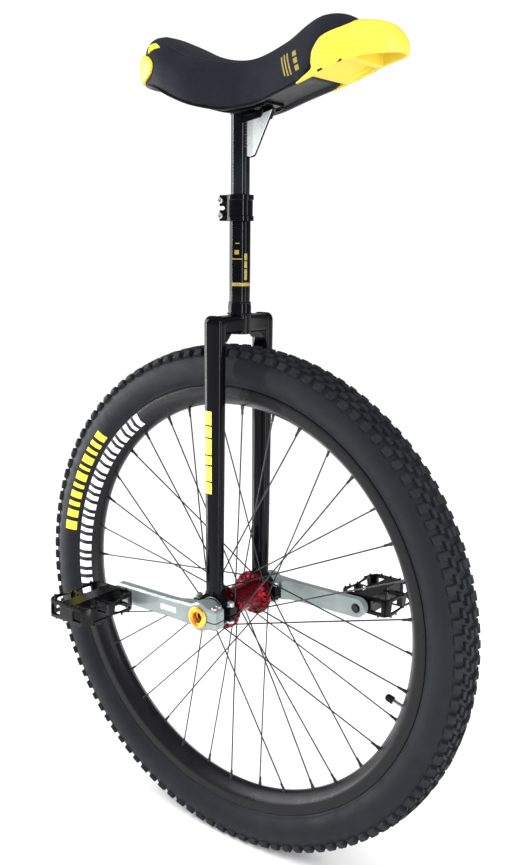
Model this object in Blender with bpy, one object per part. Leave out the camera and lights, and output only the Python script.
"""Off-road unicycle with a 29 inch wheel, a hollow 30 mm axle and a padded saddle with a front grip.

Metres. +X forward, +Y to the rider's left, +Z up. The origin is on the ground under the hub.
The right crank points backward and the left crank forward.
"""
import math

import bmesh
import bpy
from mathutils import Matrix

GAP = 0.0003

# Wheel: ISO 622 rim with a 64 mm tyre.
WHEEL_RADIUS = 0.375
WHEEL_SEGMENTS = 48
HUB_Z = WHEEL_RADIUS
BEAD_RADIUS = 0.311
FLANGE_RADIUS = 0.317
RIM_HALF_WIDTH = 0.021
RIM_INNER_RADIUS = 0.290
TYRE_HALF_WIDTH = 0.032
RIM_HOLES = 36
SPOKE_PHASE = math.radians(-1.7)
VALVE_ANGLE = SPOKE_PHASE - math.radians(15)

# Hub, axle and bearings.
FLANGE_Y = 0.036
FLANGE_THICKNESS = 0.0032
FLANGE_TAPER = 0.0012
HUB_FLANGE_RADIUS = 0.0330
SPOKE_HOLE_RADIUS = 0.0285
SPOKE_RADIUS = 0.0010
AXLE_RADIUS = 0.015
AXLE_BORE = 0.010
BEARING_Y = 0.053
BEARING_WIDTH = 0.012
BEARING_RADIUS = 0.0207
BALL_COUNT = 12
BALL_CIRCLE = 0.0180

# Cranks and pedals.
CRANK_LENGTH = 0.155
CRANK_OUTER_Y = 0.090
CRANK_INNER_Y = 0.0765
CRANK_BOSS_Y = 0.068
CRANK_BOSS_RADIUS = 0.0205
CRANK_END_RADIUS = 0.0140
CLAMP_REACH = 0.031
CLAMP_HALF_HEIGHT = 0.014
SLIT_Z = -0.003
PEDAL_INNER_Y = 0.097
PEDAL_OUTER_Y = 0.194
PEDAL_HALF_LENGTH = 0.0415
PEDAL_THICKNESS = 0.026

# Frame.
NECK_RADIUS = 0.0143
NECK_BORE = 0.0130
NECK_TOP_Z = 0.9520
NECK_SLEEVE_RADIUS = 0.0156
NECK_SLEEVE_TOP_Z = 0.8080
CROWN_BOTTOM_Z = 0.7660
CROWN_TOP_Z = 0.7920
CROWN_HALF_WIDTH = 0.0635
CROWN_HALF_DEPTH = 0.0150
LEG_Y = 0.053
HOUSING_BORE = 0.0210
HOUSING_RADIUS = 0.0260
HOUSING_HALF_WIDTH = 0.0075
CAP_BOLT_X = 0.0290

# Seat post and saddle.
POST_RADIUS = 0.0127
POST_BORE = 0.0107
POST_BOTTOM_Z = 0.7900
COLLAR_BOTTOM_Z = 0.9176
COLLAR_TOP_Z = 0.9522
COLLAR_RADIUS = 0.0184
COLLAR_BOLTS_Z = (0.9250, 0.9449)
COLLAR_BOLT_X = -0.0250
SADDLE_REAR_X = -0.144
SADDLE_REAR_CENTRE_X = -0.070
SADDLE_REAR_HALF_WIDTH = 0.078
SADDLE_NOSE_CENTRE_X = 0.140
SADDLE_NOSE_X = 0.189
SADDLE_NOSE_HALF_WIDTH = 0.0430
PAD_STATIONS = (
    -0.1425, -0.1370, -0.1200, -0.0950, -0.0650, -0.0350, -0.0050,
    0.0200, 0.0450, 0.0800, 0.1150, 0.1400, 0.1650, 0.1800, 0.1875,
)
BASE_THICKNESS = 0.0040
PLATE_THICKNESS = 0.0038
STUD_PLACES = {
    "front_right": (0.040, -0.016),
    "front_left": (0.040, 0.016),
    "rear_right": (-0.034, -0.016),
    "rear_left": (-0.034, 0.016),
}
HANDLE_REAR_X = 0.1405
HANDLE_FRONT_X = 0.248
HANDLE_CENTRE_X = 0.150
HANDLE_HALF_WIDTH = 0.0465
HANDLE_WALL = 0.004
POCKET_REAR_X = 0.197

COLOURS = {
    "black_paint": ((0.012, 0.012, 0.014), 0.30, 0.0),
    "black_rubber": ((0.020, 0.021, 0.024), 0.85, 0.0),
    "rim_black": ((0.030, 0.031, 0.034), 0.45, 0.6),
    "red_anodised": ((0.250, 0.008, 0.016), 0.32, 0.9),
    "gold_anodised": ((0.850, 0.400, 0.050), 0.30, 0.9),
    "grey_alloy": ((0.360, 0.390, 0.395), 0.38, 0.9),
    "steel": ((0.550, 0.560, 0.580), 0.25, 1.0),
    "black_steel": ((0.030, 0.030, 0.032), 0.40, 0.8),
    "saddle_cloth": ((0.022, 0.023, 0.030), 0.90, 0.0),
    "black_plastic": ((0.015, 0.015, 0.016), 0.50, 0.0),
    "yellow_plastic": ((0.900, 0.760, 0.050), 0.45, 0.0),
}
materials = {}


def clear_scene():
    for item in list(bpy.data.objects):
        bpy.data.objects.remove(item)


def material(name):
    if name not in materials:
        colour, roughness, metallic = COLOURS[name]
        made = bpy.data.materials.new(name)
        made.use_nodes = True
        shader = made.node_tree.nodes["Principled BSDF"]
        shader.inputs["Base Color"].default_value = (*colour, 1.0)
        shader.inputs["Roughness"].default_value = roughness
        shader.inputs["Metallic"].default_value = metallic
        made.diffuse_color = (*colour, 1.0)
        materials[name] = made
    return materials[name]


def axis_empty(name, location, parent=None):
    empty = bpy.data.objects.new(name, None)
    empty.location = location
    empty.parent = parent
    bpy.context.collection.objects.link(empty)
    return empty


def finish(name, bm, look, parent=None, recalculate=True):
    """Turns a bmesh into a named object, shaded smooth below 35 degrees."""
    if recalculate:
        bmesh.ops.recalc_face_normals(bm, faces=bm.faces)
    mesh = bpy.data.meshes.new(name)
    bm.to_mesh(mesh)
    bm.free()
    mesh.materials.append(material(look))
    mesh.shade_smooth()
    mesh.set_sharp_from_angle(angle=math.radians(35))
    made = bpy.data.objects.new(name, mesh)
    made.parent = parent
    bpy.context.collection.objects.link(made)
    return made


def combine(target, other, operation="DIFFERENCE"):
    """Cuts target with other, or joins them, and hides other as a cutter."""
    other.hide_render = True
    other.display_type = "WIRE"
    step = target.modifiers.new(operation.title() + " " + other.name, "BOOLEAN")
    step.operation = operation
    step.solver = "EXACT"
    step.object = other
    return target


def turned(bm, profile, segments, inward=False):
    """Spins a closed profile of (radius, height) points round the Z axis; a zero radius is a pole."""
    area = 0.0
    for (r0, t0), (r1, t1) in zip(profile, profile[1:] + profile[:1]):
        area += r0 * t1 - r1 * t0
    if (area < 0) != inward:
        profile = profile[::-1]
    columns = []
    for radius, height in profile:
        if radius < 1e-9:
            pole = bm.verts.new((0.0, 0.0, height))
            columns.append([pole] * segments)
            continue
        column = []
        for index in range(segments):
            angle = math.tau * index / segments
            column.append(bm.verts.new((radius * math.cos(angle), radius * math.sin(angle), height)))
        columns.append(column)
    count = len(profile)
    for row in range(count):
        lower = columns[row]
        upper = columns[(row + 1) % count]
        if lower[0] is lower[1] and upper[0] is upper[1]:
            continue
        for index in range(segments):
            after = (index + 1) % segments
            corners = [lower[index], lower[after], upper[after], upper[index]]
            unique = [vert for place, vert in enumerate(corners) if vert not in corners[:place]]
            bm.faces.new(unique)


def along_y(bm):
    """Turns a shape made round Z so that its axis lies along +Y."""
    bm.transform(Matrix.Rotation(math.radians(-90), 4, "X"))


def lathe(name, profile, look, segments=24, axis="Y", parent=None, move=(0, 0, 0)):
    bm = bmesh.new()
    turned(bm, profile, segments)
    if axis == "Y":
        along_y(bm)
    bm.transform(Matrix.Translation(move))
    return finish(name, bm, look, parent, recalculate=False)


def rod_profile(radius, start, end):
    return [(0.0, start), (radius, start), (radius, end), (0.0, end)]


def tube_profile(bore, radius, start, end):
    return [(bore, start), (radius, start), (radius, end), (bore, end)]


def prism(name, outline, plane, start, end, look, parent=None, bevel=0.0):
    """Extrudes a flat outline along the axis that its plane leaves out."""
    places = {
        "XY": lambda a, b, depth: (a, b, depth),
        "XZ": lambda a, b, depth: (a, depth, b),
        "YZ": lambda a, b, depth: (depth, a, b),
    }
    place = places[plane]
    bm = bmesh.new()
    low = [bm.verts.new(place(a, b, start)) for a, b in outline]
    high = [bm.verts.new(place(a, b, end)) for a, b in outline]
    bm.faces.new(low)
    top = bm.faces.new(high)
    for index in range(len(outline)):
        after = (index + 1) % len(outline)
        bm.faces.new((low[index], low[after], high[after], high[index]))
    bmesh.ops.recalc_face_normals(bm, faces=bm.faces)
    if bevel:
        bmesh.ops.bevel(bm, geom=list(top.edges), offset=bevel, segments=1, affect="EDGES")
    return finish(name, bm, look, parent)


def box(name, low, high, look="steel", parent=None):
    outline = [(low[0], low[1]), (high[0], low[1]), (high[0], high[1]), (low[0], high[1])]
    return prism(name, outline, "XY", low[2], high[2], look, parent)


def loft(name, rings, look, parent=None):
    """Joins equal rings of points into a closed solid with flat ends."""
    bm = bmesh.new()
    rows = [[bm.verts.new(point) for point in ring] for ring in rings]
    for row, following in zip(rows, rows[1:]):
        for index in range(len(row)):
            after = (index + 1) % len(row)
            bm.faces.new((row[index], row[after], following[after], following[index]))
    bm.faces.new(rows[0])
    bm.faces.new(rows[-1])
    return finish(name, bm, look, parent)


def arc(centre, radius, start, end, steps):
    """Points on an arc, angles in degrees, both ends included."""
    points = []
    for index in range(steps + 1):
        angle = math.radians(start + (end - start) * index / steps)
        points.append((centre[0] + radius * math.cos(angle), centre[1] + radius * math.sin(angle)))
    return points


def rounded_rectangle(half_x, half_y, radius, steps=2):
    points = []
    for centre_x, centre_y, start in ((1, 1, 0), (-1, 1, 90), (-1, -1, 180), (1, -1, 270)):
        centre = (centre_x * (half_x - radius), centre_y * (half_y - radius))
        points += arc(centre, radius, start, start + 90, steps)
    return points


def smooth(controls, x):
    """Catmull-Rom curve through (x, value) controls."""
    last = len(controls) - 2
    index = max(i for i in range(last + 1) if i == 0 or controls[i][0] <= x)
    x1, y1 = controls[index]
    x2, y2 = controls[index + 1]
    x0, y0 = controls[index - 1] if index > 0 else (x1, y1)
    x3, y3 = controls[index + 2] if index < last else (x2, y2)
    span = x2 - x1
    slope1 = (y2 - y0) / (x2 - x0) * span
    slope2 = (y3 - y1) / (x3 - x1) * span
    t = (x - x1) / span
    return (
        (2 * t**3 - 3 * t**2 + 1) * y1
        + (t**3 - 2 * t**2 + t) * slope1
        + (3 * t**2 - 2 * t**3) * y2
        + (t**3 - t**2) * slope2
    )


# ---------------------------------------------------------------- wheel


def build_tyre(parent):
    half = TYRE_HALF_WIDTH
    bead = BEAD_RADIUS + 2 * GAP
    outer = [
        (bead, 0.0186),
        (FLANGE_RADIUS + 0.001, 0.0186),
        (0.3310, 0.0300),
        (0.3460, half),
        (0.3660, 0.0275),
        (WHEEL_RADIUS, 0.0100),
    ]
    inner = [(0.3665, 0.0080), (0.3500, 0.0275), (0.3300, 0.0250), (bead, 0.0138)]
    right_to_left = [(radius, -side) for radius, side in outer]
    right_to_left += [(radius, side) for radius, side in reversed(outer)]
    left_to_right = [(radius, side) for radius, side in reversed(inner)]
    left_to_right += [(radius, -side) for radius, side in inner]
    lathe("tyre", right_to_left + left_to_right, "black_rubber", WHEEL_SEGMENTS, parent=parent)


def radial_cutter(name, radius, start, end, parent):
    """A rod along the valve's radius, used to open the rim, the tape and the tube."""
    bm = bmesh.new()
    turned(bm, rod_profile(radius, start, end), 10)
    along_y(bm)
    bm.transform(Matrix.Rotation(math.radians(-90), 4, "Z"))
    bm.transform(Matrix.Rotation(-VALVE_ANGLE, 4, "Y"))
    return finish(name, bm, "steel", parent, recalculate=False)


def build_inner_tube(parent):
    wall = 0.0015
    half = [(0.3086, 0.0080), (0.3400, 0.0252), (0.3652, 0.0070)]
    outer = half + [(radius, -side) for radius, side in reversed(half)]
    shrunk = []
    for radius, side in half:
        inward = wall if radius < 0.345 else -wall
        shrunk.append((radius + inward, side - wall))
    inner = shrunk + [(radius, -side) for radius, side in reversed(shrunk)]
    bm = bmesh.new()
    turned(bm, outer, WHEEL_SEGMENTS)
    turned(bm, inner, WHEEL_SEGMENTS, inward=True)
    along_y(bm)
    tube = finish("inner_tube", bm, "black_rubber", parent, recalculate=False)
    combine(tube, radial_cutter("tube_opening", 0.0043, 0.300, 0.320, parent))


def build_valve(parent):
    stem = [(0.0, 0.2656), (0.0026, 0.2656), (0.0026, 0.2755), (0.0039, 0.2765), (0.0039, 0.3125), (0.0, 0.3125)]
    cap = [(0.0, 0.2636), (0.0040, 0.2636), (0.0048, 0.2652), (0.0048, 0.2750), (0.0030, 0.2750), (0.0030, 0.2650)]
    cap.append((0.0, 0.2650))
    for name, profile, look in (("valve_stem", stem, "steel"), ("valve_cap", cap, "black_plastic")):
        bm = bmesh.new()
        turned(bm, profile, 10)
        along_y(bm)
        bm.transform(Matrix.Rotation(math.radians(-90), 4, "Z"))
        bm.transform(Matrix.Rotation(-VALVE_ANGLE, 4, "Y"))
        finish(name, bm, look, parent, recalculate=False)


def build_rim(parent):
    """Double-walled rim: hooked flanges, a centre channel and a shallow V spoke bed."""
    bed = 0.0035
    inside = [
        (FLANGE_RADIUS, RIM_HALF_WIDTH),
        (FLANGE_RADIUS, 0.0190),
        (BEAD_RADIUS, 0.0190),
        (BEAD_RADIUS, 0.0130),
        (0.3060, 0.0090),
    ]
    outside = [(0.3020, 0.0203), (RIM_INNER_RADIUS, bed)]
    section = [(radius, side) for radius, side in inside]
    section += [(radius, -side) for radius, side in reversed(inside)]
    section += [(radius, -side) for radius, side in outside]
    section += [(radius, side) for radius, side in reversed(outside)]
    half = [(0.2920, 0.0030), (0.3035, 0.0180), (0.3035, 0.0095)]
    chamber = half + [(radius, -side) for radius, side in reversed(half)]
    bm = bmesh.new()
    turned(bm, section, WHEEL_SEGMENTS)
    turned(bm, chamber, WHEEL_SEGMENTS, inward=True)
    along_y(bm)
    rim = finish("rim", bm, "rim_black", parent, recalculate=False)
    combine(rim, radial_cutter("rim_valve_hole", 0.0043, 0.280, 0.3075, parent))


def build_rim_tape(parent):
    profile = tube_profile(0.3064, 0.3076, -0.0080, 0.0080)
    tape = lathe("rim_tape", profile, "black_rubber", WHEEL_SEGMENTS, parent=parent)
    combine(tape, radial_cutter("tape_opening", 0.0043, 0.300, 0.3125, parent))


def spoke_prism(bm, hub_point, rim_point, sides=4):
    """One straight spoke as a thin square rod."""
    direction = rim_point - hub_point
    turn = direction.to_track_quat("Z", "Y").to_matrix().to_4x4()
    matrix = Matrix.Translation(hub_point) @ turn
    rows = []
    for height in (0.0, direction.length):
        row = []
        for index in range(sides):
            angle = math.tau * index / sides
            local = Matrix.Translation((SPOKE_RADIUS * math.cos(angle), SPOKE_RADIUS * math.sin(angle), height))
            row.append(bm.verts.new((matrix @ local).translation))
        rows.append(row)
    bm.faces.new(rows[0][::-1])
    bm.faces.new(rows[1])
    for index in range(sides):
        after = (index + 1) % sides
        bm.faces.new((rows[0][index], rows[0][after], rows[1][after], rows[1][index]))


def build_spokes(side_name, side, parent):
    """Eighteen spokes of one flange, laced three-cross and touching where they cross."""
    per_flange = RIM_HOLES // 2
    hub_y = side * (FLANGE_Y + FLANGE_THICKNESS / 2 + GAP + SPOKE_RADIUS)
    rim_y = side * 0.0025
    spacing = math.tau / per_flange
    start = SPOKE_PHASE + (0.0 if side > 0 else spacing / 2)
    rim_radius = RIM_INNER_RADIUS * math.cos(math.pi / WHEEL_SEGMENTS) - GAP
    bundles = {1: bmesh.new(), -1: bmesh.new()}
    for index in range(per_flange):
        lead = side if index % 2 == 0 else -side
        rim_angle = start + spacing * index
        hub_angle = rim_angle + lead * 3 * spacing
        hub_point = Matrix.Translation(
            (SPOKE_HOLE_RADIUS * math.cos(hub_angle), hub_y, SPOKE_HOLE_RADIUS * math.sin(hub_angle))
        ).translation
        rim_point = Matrix.Translation(
            (rim_radius * math.cos(rim_angle), rim_y, rim_radius * math.sin(rim_angle))
        ).translation
        spoke_prism(bundles[lead], hub_point, rim_point)
    net = finish("spokes_" + side_name, bundles[1], "black_steel", parent)
    trailing = finish("spokes_trailing_" + side_name, bundles[-1], "black_steel", parent)
    combine(net, trailing, "UNION")


def build_hub(parent):
    bore = AXLE_RADIUS + GAP
    outer_face = FLANGE_Y + FLANGE_THICKNESS / 2
    inner_face = FLANGE_Y - FLANGE_THICKNESS / 2
    half = [
        (bore, 0.0460),
        (0.0180, 0.0460),
        (0.0205, outer_face),
        (0.0270, outer_face),
        (HUB_FLANGE_RADIUS, outer_face - FLANGE_TAPER),
        (HUB_FLANGE_RADIUS, inner_face),
        (0.0255, inner_face - 0.0010),
        (0.0195, 0.0240),
    ]
    profile = half + [(radius, -side) for radius, side in reversed(half)]
    lathe("hub_shell", profile, "red_anodised", 24, parent=parent)
    half_length = CRANK_OUTER_Y - GAP
    lathe("axle", tube_profile(AXLE_BORE, AXLE_RADIUS, -half_length, half_length), "black_steel", 20, parent=parent)


def grooved_ring(name, plain, grooved, bottom, centre_y, look, parent, move=(0, 0, 0)):
    """A bearing race: plain on one side, with a V groove for the balls on the other."""
    half = BEARING_WIDTH / 2
    groove = 0.0024
    profile = [
        (plain, centre_y - half),
        (grooved, centre_y - half),
        (grooved, centre_y - groove),
        (bottom, centre_y),
        (grooved, centre_y + groove),
        (grooved, centre_y + half),
        (plain, centre_y + half),
    ]
    lathe(name, profile, look, 20, parent=parent, move=move)


def build_ball_cage(name, centre_y, parent):
    """Twelve balls joined by their cage, as a ring whose thickness rises at each ball."""
    per_ball = 2
    sides = 5
    thickness = (0.0014, 0.0005)
    count = BALL_COUNT * per_ball
    bm = bmesh.new()
    rows = []
    for index in range(count):
        angle = math.tau * index / count
        radius = thickness[index % per_ball]
        row = []
        for step in range(sides):
            turn = math.tau * step / sides
            distance = BALL_CIRCLE + radius * math.cos(turn)
            height = centre_y + radius * math.sin(turn)
            row.append(bm.verts.new((distance * math.cos(angle), height, distance * math.sin(angle))))
        rows.append(row)
    for index in range(count):
        row = rows[index]
        following = rows[(index + 1) % count]
        for step in range(sides):
            after = (step + 1) % sides
            bm.faces.new((row[step], row[after], following[after], following[step]))
    finish(name, bm, "steel", parent)


# ---------------------------------------------------------------- cranks and pedals


def crank_outline():
    """Side view of a crank: arm toward +X, pinch clamp toward -X."""
    points = []
    points += arc((CRANK_LENGTH, 0.0), CRANK_END_RADIUS, -90, 90, 8)
    points.append((0.050, 0.0140))
    points += arc((0.0, 0.0), CRANK_BOSS_RADIUS, 62, 112, 4)
    points.append((-0.0180, CLAMP_HALF_HEIGHT))
    points.append((-CLAMP_REACH, CLAMP_HALF_HEIGHT))
    points.append((-CLAMP_REACH, -CLAMP_HALF_HEIGHT))
    points.append((-0.0180, -CLAMP_HALF_HEIGHT))
    points += arc((0.0, 0.0), CRANK_BOSS_RADIUS, 248, 298, 4)
    points.append((0.050, -0.0140))
    return points


def build_crank(side_name, side, wheel):
    """One crank with its pinch bolts, end cap and pedal spindle; the right one is turned half round."""
    pivot = axis_empty("crank_turn_" + side_name, (0, 0, 0), wheel)
    pivot.rotation_euler = (0, 0, 0.0 if side > 0 else math.pi)
    name = "crank_" + side_name
    crank = prism(name, crank_outline(), "XZ", CRANK_BOSS_Y, CRANK_OUTER_Y, "grey_alloy", pivot, bevel=0.0045)
    relief_low = (0.0270, CRANK_BOSS_Y - 0.005, -0.030)
    relief_high = (CRANK_LENGTH + 0.030, CRANK_INNER_Y, 0.030)
    combine(crank, box(name + "_relief", relief_low, relief_high, parent=pivot))
    bore = rod_profile(AXLE_RADIUS + GAP, CRANK_BOSS_Y - 0.005, CRANK_OUTER_Y + 0.005)
    combine(crank, lathe(name + "_bore", bore, "steel", 20, parent=pivot))
    slit_low = (-CLAMP_REACH - 0.005, CRANK_BOSS_Y - 0.005, SLIT_Z - 0.0008)
    slit_high = (-0.0100, CRANK_OUTER_Y + 0.005, SLIT_Z + 0.0008)
    combine(crank, box(name + "_slit", slit_low, slit_high, parent=pivot))
    eye = rod_profile(0.0073, CRANK_INNER_Y - 0.005, CRANK_OUTER_Y + 0.005)
    combine(crank, lathe(name + "_eye", eye, "steel", 12, parent=pivot, move=(CRANK_LENGTH, 0, 0)))
    for place, bolt_y in (("inner", 0.0730), ("outer", 0.0825)):
        centre = (-0.0235, bolt_y, 0.0)
        hole = rod_profile(0.0028, -0.020, 0.020)
        cutter = lathe(name + "_hole_" + place, hole, "steel", 8, axis="Z", parent=pivot, move=centre)
        combine(crank, cutter)
        top = CLAMP_HALF_HEIGHT
        bolt = [
            (0.0, -top),
            (0.0025, -top),
            (0.0025, top + GAP),
            (0.0042, top + GAP),
            (0.0042, top + 0.0050),
            (0.0, top + 0.0050),
        ]
        bolt_name = "pinch_bolt_" + side_name + "_" + place
        lathe(bolt_name, bolt, "steel", 8, axis="Z", parent=pivot, move=centre)
    build_axle_cap(side_name, pivot)
    build_pedal(side_name, side, pivot, wheel)


def build_axle_cap(side_name, pivot):
    """Preload cap: a flange over the crank's face and a plug in the hollow axle."""
    face = CRANK_OUTER_Y + GAP
    plug = AXLE_BORE - GAP
    profile = [
        (0.0, face - 0.0120),
        (plug, face - 0.0120),
        (plug, face),
        (0.0158, face),
        (0.0152, face + 0.0024),
        (0.0075, face + 0.0024),
        (0.0060, face - 0.0060),
        (0.0, face - 0.0060),
    ]
    lathe("axle_cap_" + side_name, profile, "gold_anodised", 20, parent=pivot)


def pedal_outline():
    """Plan view of the platform: (x, y) with the outer corners cut at a slant."""
    half = PEDAL_HALF_LENGTH
    right = [
        (half - 0.0070, PEDAL_INNER_Y),
        (half - 0.0005, PEDAL_INNER_Y + 0.0090),
        (half, PEDAL_OUTER_Y - 0.0130),
        (half - 0.0080, PEDAL_OUTER_Y),
    ]
    return right + [(-x, y) for x, y in reversed(right)]


def build_pedal(side_name, side, pivot, wheel):
    """The spindle turns with the crank; the platform, its bush and its dust cap turn on the spindle."""
    end = (CRANK_LENGTH, 0, 0)
    spindle = [
        (0.0, CRANK_INNER_Y),
        (0.0070, CRANK_INNER_Y),
        (0.0070, CRANK_OUTER_Y + GAP),
        (0.0095, CRANK_OUTER_Y + GAP),
        (0.0095, PEDAL_INNER_Y - 0.0010),
        (0.0055, PEDAL_INNER_Y),
        (0.0055, PEDAL_OUTER_Y - 0.0100),
        (0.0, PEDAL_OUTER_Y - 0.0100),
    ]
    lathe("pedal_spindle_" + side_name, spindle, "black_steel", 12, parent=pivot, move=end)
    pedal = axis_empty("pedal_axis_" + side_name, (side * CRANK_LENGTH, 0, 0), wheel)
    pedal.rotation_euler = (0, 0, 0.0 if side > 0 else math.pi)
    half = PEDAL_THICKNESS / 2
    name = "pedal_body_" + side_name
    body = prism(name, pedal_outline(), "XY", -half, half, "black_plastic", pedal)
    window = [
        (0.0125, 0.1040),
        (0.0330, 0.1040),
        (0.0365, 0.1085),
        (0.0365, 0.1795),
        (0.0310, 0.1875),
        (0.0125, 0.1875),
    ]
    for place, sign in (("front", 1), ("rear", -1)):
        outline = [(sign * x, y) for x, y in window]
        cutter = prism(name + "_window_" + place, outline, "XY", -0.020, 0.020, "steel", pedal)
        combine(body, cutter)
    bore = rod_profile(0.0083, PEDAL_INNER_Y - 0.005, PEDAL_OUTER_Y + 0.005)
    combine(body, lathe(name + "_bore", bore, "steel", 12, parent=pedal))
    bush = tube_profile(0.0058, 0.0080, PEDAL_INNER_Y + 0.0020, PEDAL_OUTER_Y - 0.0120)
    lathe("pedal_bush_" + side_name, bush, "steel", 12, parent=pedal)
    cap = rod_profile(0.0080, PEDAL_OUTER_Y - 0.0045, PEDAL_OUTER_Y - 0.0005)
    lathe("pedal_dust_cap_" + side_name, cap, "black_plastic", 12, parent=pedal)


def build_wheel():
    wheel = axis_empty("wheel_axis", (0, 0, HUB_Z))
    build_tyre(wheel)
    build_inner_tube(wheel)
    build_valve(wheel)
    build_rim(wheel)
    build_rim_tape(wheel)
    build_hub(wheel)
    for side_name, side in (("right", -1), ("left", 1)):
        build_spokes(side_name, side, wheel)
        centre_y = side * BEARING_Y
        inner_name = "bearing_inner_ring_" + side_name
        grooved_ring(inner_name, AXLE_RADIUS + GAP, 0.0171, 0.0161, centre_y, "steel", wheel)
        cage = axis_empty("ball_axis_" + side_name, (0, 0, HUB_Z))
        build_ball_cage("ball_cage_" + side_name, centre_y, cage)
        inner = BEARING_Y + BEARING_WIDTH / 2 + GAP
        outer = CRANK_BOSS_Y - GAP
        ends = sorted((side * inner, side * outer))
        spacer = tube_profile(AXLE_RADIUS + GAP, 0.0178, *ends)
        lathe("axle_spacer_" + side_name, spacer, "grey_alloy", 20, parent=wheel)
        build_crank(side_name, side, wheel)


# ---------------------------------------------------------------- frame


def build_neck():
    """Neck tube, open at both ends, with a clamping slot at the back."""
    profile = tube_profile(NECK_BORE, NECK_RADIUS, CROWN_BOTTOM_Z - 0.0008, NECK_TOP_Z)
    neck = lathe("neck_tube", profile, "black_paint", 24, axis="Z")
    combine(neck, box("neck_slot", (-0.020, -0.0013, 0.9000), (-0.010, 0.0013, 0.9600)))


def build_crown():
    """Hollow cross-member with a sleeve for the neck; the legs are welded below it."""
    corner = 0.0100
    low = CROWN_BOTTOM_Z
    side = CROWN_HALF_WIDTH
    outline = [(-side, low), (side, low)]
    outline += arc((side - corner, CROWN_TOP_Z - corner), corner, 0, 90, 4)
    outline += arc((-side + corner, CROWN_TOP_Z - corner), corner, 90, 180, 4)
    crown = prism("crown", outline, "YZ", -CROWN_HALF_DEPTH, CROWN_HALF_DEPTH, "black_paint")
    wall = 0.0025
    cavity_low = (-CROWN_HALF_DEPTH + wall, -side + 0.0060, low + wall)
    cavity_high = (CROWN_HALF_DEPTH - wall, side - 0.0060, CROWN_TOP_Z - 0.0040)
    combine(crown, box("crown_cavity", cavity_low, cavity_high))
    sleeve = rod_profile(NECK_SLEEVE_RADIUS + 0.0002, low - 0.0008, NECK_SLEEVE_TOP_Z)
    combine(crown, lathe("crown_sleeve", sleeve, "steel", 24, axis="Z"), "UNION")
    hole = rod_profile(NECK_RADIUS + GAP, low - 0.010, NECK_SLEEVE_TOP_Z + 0.010)
    combine(crown, lathe("crown_neck_hole", hole, "steel", 22, axis="Z"))
    for side_name, sign in (("right", -1), ("left", 1)):
        centre = sign * LEG_Y
        opening_low = (-0.0110, centre - 0.0040, low - 0.005)
        opening_high = (0.0110, centre + 0.0040, low + 0.010)
        combine(crown, box("crown_opening_" + side_name, opening_low, opening_high))


def build_leg(side_name, side):
    """Tapered leg: a rounded rectangular tube, open at both ends."""
    bottom = HUB_Z + 0.0251 + GAP
    top = CROWN_BOTTOM_Z - GAP
    wall = 0.0018
    sections = ((bottom, 0.0125, 0.0090), (top, 0.0150, 0.0105))
    solids = []
    for inset, name, reach in ((0.0, "fork_leg_", 0.0), (wall, "leg_bore_", 0.002)):
        rings = []
        for z, half_x, half_y in sections:
            height = z + (reach if z == top else -reach)
            ring = rounded_rectangle(half_x - inset, half_y - inset, 0.0060 - inset)
            rings.append([(x, side * LEG_Y + y, height) for x, y in ring])
        solids.append(loft(name + side_name, rings, "black_paint"))
    combine(solids[0], solids[1])


def build_bearing_holder(side_name, side):
    """Upper half, welded to the leg, and the removable lower cap, with two bolts."""
    ends = sorted((side * (BEARING_Y - HOUSING_HALF_WIDTH), side * (BEARING_Y + HOUSING_HALF_WIDTH)))
    centre = (0.0, HUB_Z)
    ear_x = 0.0345
    ear_top = 0.0120
    flat_x = 0.0125
    start = math.degrees(math.asin(ear_top / HOUSING_RADIUS))
    end = math.degrees(math.acos(flat_x / HOUSING_RADIUS))
    upper = [(ear_x, HUB_Z + GAP), (ear_x, HUB_Z + ear_top)]
    upper += arc(centre, HOUSING_RADIUS, start, end, 3)
    upper += [(flat_x, HUB_Z + 0.0251), (-flat_x, HUB_Z + 0.0251)]
    upper += arc(centre, HOUSING_RADIUS, 180 - end, 180 - start, 3)
    upper += [(-ear_x, HUB_Z + ear_top), (-ear_x, HUB_Z + GAP)]
    upper += arc(centre, HOUSING_BORE, 179.2, 0.8, 12)
    housing = prism("bearing_housing_" + side_name, upper, "XZ", *ends, "black_paint")
    ear_bottom = -0.0090
    start = math.degrees(math.asin(-ear_bottom / HOUSING_RADIUS))
    lower = [(-ear_x, HUB_Z - GAP), (-ear_x, HUB_Z + ear_bottom)]
    lower += arc(centre, HOUSING_RADIUS, 180 + start, 360 - start, 10)
    lower += [(ear_x, HUB_Z + ear_bottom), (ear_x, HUB_Z - GAP)]
    lower += arc(centre, HOUSING_BORE, -0.8, -179.2, 12)
    cap = prism("bearing_cap_" + side_name, lower, "XZ", *ends, "black_paint")
    for place, bolt_x in (("front", CAP_BOLT_X), ("rear", -CAP_BOLT_X)):
        move = (bolt_x, side * BEARING_Y, HUB_Z)
        label = side_name + "_" + place
        hole = rod_profile(0.0033, -0.015, 0.020)
        cutter = lathe("cap_bolt_hole_" + label, hole, "steel", 8, axis="Z", move=move)
        combine(housing, cutter)
        combine(cap, cutter)
        bolt = [
            (0.0, ear_bottom - 0.0030),
            (0.0030, ear_bottom - 0.0030),
            (0.0030, ear_top + GAP),
            (0.0048, ear_top + GAP),
            (0.0048, ear_top + 0.0063),
            (0.0, ear_top + 0.0063),
        ]
        lathe("cap_bolt_" + label, bolt, "steel", 8, axis="Z", move=move)
    ring_name = "bearing_outer_ring_" + side_name
    grooved_ring(ring_name, BEARING_RADIUS, 0.0189, 0.0199, side * BEARING_Y, "steel", None, (0, 0, HUB_Z))


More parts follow.
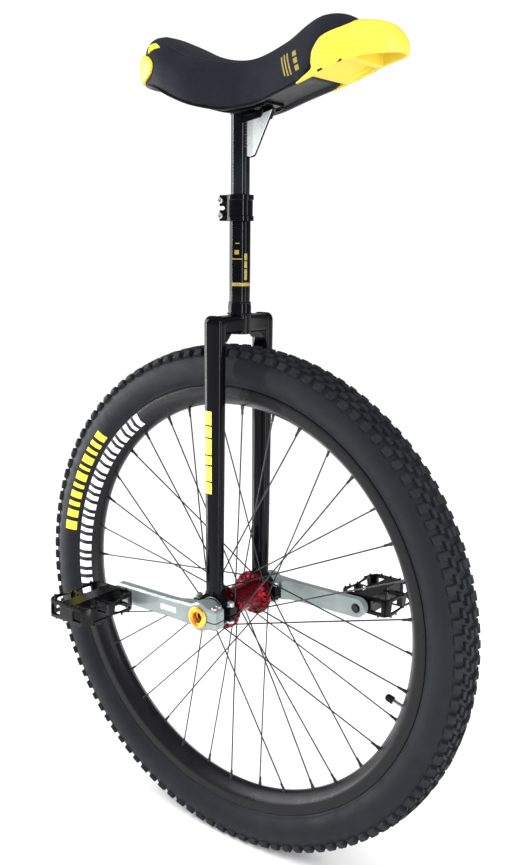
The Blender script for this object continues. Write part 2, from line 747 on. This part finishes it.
def build_seat_clamp():
    """Split collar with two pairs of lugs at the back, drawn together by two bolts."""
    slit = 0.0013
    lug_x = -0.0310
    lug_y = 0.0090
    bore = NECK_RADIUS + GAP
    inner_angle = 180 - math.degrees(math.asin(slit / bore))
    outer_angle = 180 - math.degrees(math.asin(lug_y / COLLAR_RADIUS))
    outline = arc((0, 0), bore, inner_angle, -inner_angle, 20)
    outline += [(lug_x, -slit), (lug_x, -lug_y)]
    outline += arc((0, 0), COLLAR_RADIUS, -outer_angle, outer_angle, 18)
    outline += [(lug_x, lug_y), (lug_x, slit)]
    clamp = prism("seat_clamp", outline, "XY", COLLAR_BOTTOM_Z, COLLAR_TOP_Z, "black_paint")
    middle = sum(COLLAR_BOLTS_Z) / 2
    notch_low = (lug_x - 0.005, -0.020, middle - 0.0027)
    notch_high = (-0.0195, 0.020, middle + 0.0027)
    combine(clamp, box("clamp_notch", notch_low, notch_high))
    for place, bolt_z in zip(("lower", "upper"), COLLAR_BOLTS_Z):
        move = (COLLAR_BOLT_X, 0.0, bolt_z)
        hole = rod_profile(0.0028, -0.015, 0.015)
        combine(clamp, lathe("clamp_hole_" + place, hole, "steel", 8, move=move))
        head = -lug_y - GAP
        bolt = [
            (0.0, head - 0.0045),
            (0.0042, head - 0.0045),
            (0.0042, head),
            (0.0025, head),
            (0.0025, lug_y + 0.0010),
            (0.0, lug_y + 0.0010),
        ]
        lathe("clamp_bolt_" + place, bolt, "steel", 8, move=move)


def build_frame():
    build_neck()
    build_crown()
    for side_name, side in (("right", -1), ("left", 1)):
        build_leg(side_name, side)
        build_bearing_holder(side_name, side)
    build_seat_clamp()


# ---------------------------------------------------------------- seat post and saddle


def saddle_rim_z(x):
    """Height of the saddle's lower edge: level at the back, lowest over the post, rising to the nose."""
    controls = [
        (-0.160, 1.0955),
        (-0.120, 1.0935),
        (-0.088, 1.0870),
        (-0.062, 1.0750),
        (-0.029, 1.0622),
        (0.003, 1.0556),
        (0.022, 1.0568),
        (0.040, 1.0588),
        (0.058, 1.0628),
        (0.089, 1.0720),
        (0.125, 1.0820),
        (0.155, 1.0912),
        (0.197, 1.1035),
        (0.250, 1.1085),
    ]
    return smooth(controls, x)


def saddle_top_z(x):
    controls = [
        (-0.144, 1.1400),
        (-0.138, 1.1565),
        (-0.120, 1.1655),
        (-0.095, 1.1562),
        (-0.050, 1.1366),
        (0.005, 1.1222),
        (0.045, 1.1232),
        (0.090, 1.1395),
        (0.130, 1.1605),
        (0.158, 1.1637),
        (0.178, 1.1550),
        (0.189, 1.1330),
    ]
    return smooth(controls, x)


def saddle_half_width(x):
    """Plan shape: a round rear, a narrow waist and a round nose."""
    rear_length = SADDLE_REAR_CENTRE_X - SADDLE_REAR_X
    nose_length = SADDLE_NOSE_X - SADDLE_NOSE_CENTRE_X
    if x < SADDLE_REAR_CENTRE_X:
        ratio = (SADDLE_REAR_CENTRE_X - x) / rear_length
        return SADDLE_REAR_HALF_WIDTH * math.sqrt(max(0.0, 1 - ratio**2))
    if x > SADDLE_NOSE_CENTRE_X:
        ratio = (x - SADDLE_NOSE_CENTRE_X) / nose_length
        return SADDLE_NOSE_HALF_WIDTH * math.sqrt(max(0.0, 1 - ratio**2))
    controls = [
        (SADDLE_REAR_CENTRE_X - 0.020, SADDLE_REAR_HALF_WIDTH),
        (SADDLE_REAR_CENTRE_X, SADDLE_REAR_HALF_WIDTH),
        (-0.030, 0.0740),
        (0.015, 0.0490),
        (0.055, 0.0400),
        (0.100, 0.0405),
        (SADDLE_NOSE_CENTRE_X, SADDLE_NOSE_HALF_WIDTH),
        (SADDLE_NOSE_CENTRE_X + 0.020, SADDLE_NOSE_HALF_WIDTH),
    ]
    return smooth(controls, x)


def dome_ring(x, half_width, top, bottom, count=14):
    """Cross-section in the YZ plane: crowned above, nearly square below."""
    middle = bottom + 0.40 * (top - bottom)
    ring = []
    for index in range(count):
        angle = math.tau * (index + 0.5) / count
        upper = math.sin(angle) > 0
        power = 0.80 if upper else 0.45
        across = math.copysign(abs(math.cos(angle)) ** power, math.cos(angle))
        rise = abs(math.sin(angle) / math.sin(math.pi / 2 - math.pi / count)) ** 0.85
        height = (top - middle) * rise if upper else (bottom - middle) * min(1.0, rise * 1.15)
        ring.append((x, half_width * across, middle + height))
    return ring


def build_pad(parent):
    """Foam and cover of the saddle as one closed solid."""
    rings = []
    for x in PAD_STATIONS:
        bottom = saddle_rim_z(x) + BASE_THICKNESS + 0.0016
        rings.append(dome_ring(x, saddle_half_width(x), saddle_top_z(x), bottom))
    loft("saddle_pad", rings, "saddle_cloth", parent)


def build_base(parent):
    """Moulded plate that stiffens the saddle and takes the four studs."""
    rings = []
    for x in PAD_STATIONS[1:-3]:
        side = saddle_half_width(x) - 0.007
        low = saddle_rim_z(x) + 0.0011
        high = low + BASE_THICKNESS
        rings.append([(x, -side, low), (x, side, low), (x, side, high), (x, -side, high)])
    base = loft("saddle_base", rings, "black_plastic", parent)
    low = [(x, saddle_rim_z(x) + 0.0011 - GAP - PLATE_THICKNESS) for x in plate_stations()]
    high = [(x, saddle_rim_z(x) + 0.0011 - GAP) for x in reversed(plate_stations())]
    plate = prism("post_plate", low + high, "XZ", -0.0250, 0.0250, "black_steel", parent)
    for place, (stud_x, stud_y) in STUD_PLACES.items():
        level = saddle_rim_z(stud_x)
        move = (stud_x, stud_y, level)
        hole = rod_profile(0.0033, -0.015, 0.020)
        cutter = lathe("stud_hole_" + place, hole, "steel", 8, axis="Z", parent=parent, move=move)
        combine(base, cutter)
        combine(plate, cutter)
        nut_top = -PLATE_THICKNESS - 0.0008
        stud = [
            (0.0, nut_top - 0.0050),
            (0.0055, nut_top - 0.0050),
            (0.0055, nut_top),
            (0.0030, nut_top),
            (0.0030, 0.0042),
            (0.0, 0.0042),
        ]
        lathe("saddle_bolt_" + place, stud, "steel", 6, axis="Z", parent=parent, move=move)


def plate_stations():
    first = -0.048
    last = 0.056
    steps = 8
    return [first + (last - first) * index / steps for index in range(steps + 1)]


def build_post(parent):
    """Seat post, with the gusset that stiffens its plate at the front."""
    plate_bottom = saddle_rim_z(0.0) + 0.0011 - GAP - PLATE_THICKNESS
    top = saddle_rim_z(POST_RADIUS) + 0.0011 - GAP - PLATE_THICKNESS - 0.0006
    profile = tube_profile(POST_BORE, POST_RADIUS, POST_BOTTOM_Z, min(top, plate_bottom - 0.0006))
    lathe("seat_post", profile, "black_steel", 20, axis="Z", parent=parent)
    front = 0.053
    start = POST_RADIUS + GAP
    outline = [(start, 1.0020), (0.0245, 1.0030), (front, saddle_rim_z(front) - 0.0040)]
    outline += [(x, saddle_rim_z(x) - 0.0040) for x in (0.040, 0.027)]
    outline.append((start, saddle_rim_z(start) - 0.0040))
    prism("post_gusset", outline, "XZ", -0.0020, 0.0020, "black_steel", parent)


def handle_half_width(x):
    ratio = (x - HANDLE_CENTRE_X) / (HANDLE_FRONT_X - HANDLE_CENTRE_X)
    return HANDLE_HALF_WIDTH * math.sqrt(max(0.0, 1 - ratio**2))


def handle_top_z(x):
    controls = [
        (0.135, 1.1665),
        (0.160, 1.1650),
        (0.182, 1.1555),
        (0.200, 1.1530),
        (0.216, 1.1490),
        (0.230, 1.1415),
        (0.241, 1.1300),
        (0.248, 1.1170),
    ]
    return smooth(controls, x)


def build_handle(parent):
    """Front grip: a shell round the nose whose bill the hand hooks under."""
    rings = []
    for x in (HANDLE_REAR_X, 0.160, 0.178, 0.195, 0.210, 0.223, 0.235, 0.243, 0.2468):
        rings.append(dome_ring(x, handle_half_width(x), handle_top_z(x), saddle_rim_z(x)))
    handle = loft("front_handle", rings, "yellow_plastic", parent)
    ease = 0.0006
    rings = []
    for x in (0.130, 0.145, 0.167, 0.180, 0.1875, 0.1895):
        inside = min(x, 0.1875)
        half_width = saddle_half_width(inside) + ease
        bottom = saddle_rim_z(x) + BASE_THICKNESS + 0.0010
        rings.append(dome_ring(x, half_width, saddle_top_z(inside) + ease, bottom))
    combine(handle, loft("handle_nose_space", rings, "steel", parent))
    rings = []
    for x in (POCKET_REAR_X, 0.210, 0.223, 0.235, 0.2415):
        half_width = handle_half_width(x) - HANDLE_WALL
        rings.append(dome_ring(x, half_width, handle_top_z(x) - HANDLE_WALL, saddle_rim_z(x) - 0.012))
    combine(handle, loft("handle_pocket", rings, "steel", parent))
    corner = (0.1725, 1.1040)
    reach = 0.0310
    outline = [(0.1860, 1.200), (0.120, 1.200), (0.120, corner[1])]
    outline += arc(corner, reach, 180, 90, 7)
    outline.append((0.1860, 1.1400))
    combine(handle, prism("handle_edge_cut", outline, "XZ", -0.080, 0.080, "steel", parent))


def build_bumper(parent):
    """Scuff guard round the back of the saddle."""
    centre = (SADDLE_REAR_CENTRE_X, 0.0)
    length = SADDLE_REAR_CENTRE_X - SADDLE_REAR_X
    outline = []
    for offset, angles in ((0.0008, range(-60, 61, 10)), (0.0070, range(60, -61, -10))):
        for degrees in angles:
            angle = math.radians(180 + degrees)
            x = centre[0] + (length + offset) * math.cos(angle)
            y = (SADDLE_REAR_HALF_WIDTH + offset) * math.sin(angle)
            outline.append((x, y))
    prism("rear_bumper", outline, "XY", 1.0960, 1.1360, "yellow_plastic", parent)


def build_seat():
    seat = axis_empty("seat_slide_axis", (0, 0, 0))
    build_post(seat)
    build_base(seat)
    build_pad(seat)
    build_handle(seat)
    build_bumper(seat)


clear_scene()
build_frame()
build_wheel()
build_seat()
